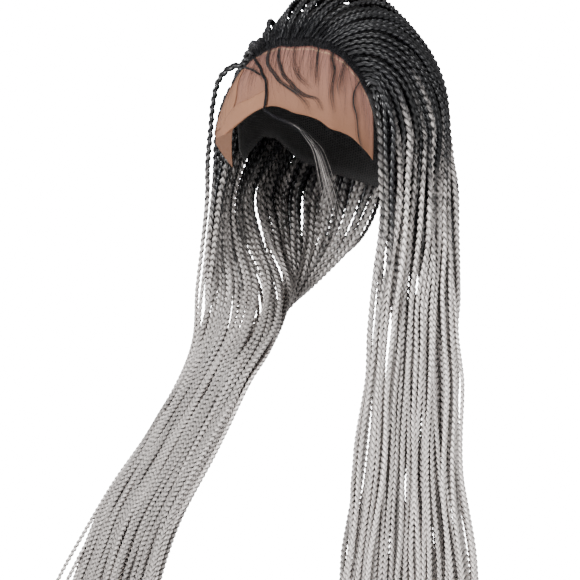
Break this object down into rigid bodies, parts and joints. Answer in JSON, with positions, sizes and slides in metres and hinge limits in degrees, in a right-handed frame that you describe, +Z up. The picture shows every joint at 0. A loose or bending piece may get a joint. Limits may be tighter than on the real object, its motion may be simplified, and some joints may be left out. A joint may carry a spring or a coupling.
{
  "type": "braid wig",
  "caption": "Lace-front braid wig: a domed cap with long box braids swept back and brought over both shoulders, black fading to silver grey.",
  "frame": {"origin": "inside of the cap at its top, where the wig sits on the crown of the head", "axes": "+Z up the standing wearer, -Y the way the wearer faces, +X to the wearer's left"},
  "size_m": [0.4028, 0.2509, 0.6214],
  "materials": {
    "cap_mesh": "black stretch mesh",
    "lace": "sheer tan net with knotted hairline and baby hair",
    "braided_hair": "satin synthetic fibre in tight three-strand plaits, black roots fading to silver grey"
  },
  "bodies": {
    "root": {"cap": "cap_mesh", "lace_front": "lace", "left_back_lock_01": "braided_hair", "left_back_lock_02": "braided_hair", "left_back_lock_03": "braided_hair", "left_back_lock_04": "braided_hair", "left_back_lock_05": "braided_hair", "left_back_lock_06": "braided_hair", "left_back_lock_07": "braided_hair", "left_back_lock_08": "braided_hair", "left_back_lock_09": "braided_hair", "left_back_lock_10": "braided_hair", "left_front_lock_01": "braided_hair", "left_front_lock_02": "braided_hair", "left_front_lock_03": "braided_hair", "left_front_lock_04": "braided_hair", "left_front_lock_05": "braided_hair", "left_front_lock_06": "braided_hair", "left_front_lock_07": "braided_hair", "left_front_lock_08": "braided_hair", "left_front_lock_09": "braided_hair", "left_front_lock_10": "braided_hair", "right_back_lock_01": "braided_hair", "right_back_lock_02": "braided_hair", "right_back_lock_03": "braided_hair", "right_back_lock_04": "braided_hair", "right_back_lock_05": "braided_hair", "right_back_lock_06": "braided_hair", "right_back_lock_07": "braided_hair", "right_back_lock_08": "braided_hair", "right_back_lock_09": "braided_hair", "right_back_lock_10": "braided_hair", "right_front_lock_01": "braided_hair", "right_front_lock_02": "braided_hair", "right_front_lock_03": "braided_hair", "right_front_lock_04": "braided_hair", "right_front_lock_05": "braided_hair", "right_front_lock_06": "braided_hair", "right_front_lock_07": "braided_hair", "right_front_lock_08": "braided_hair", "right_front_lock_09": "braided_hair", "right_front_lock_10": "braided_hair"}
  },
  "joints": []
}
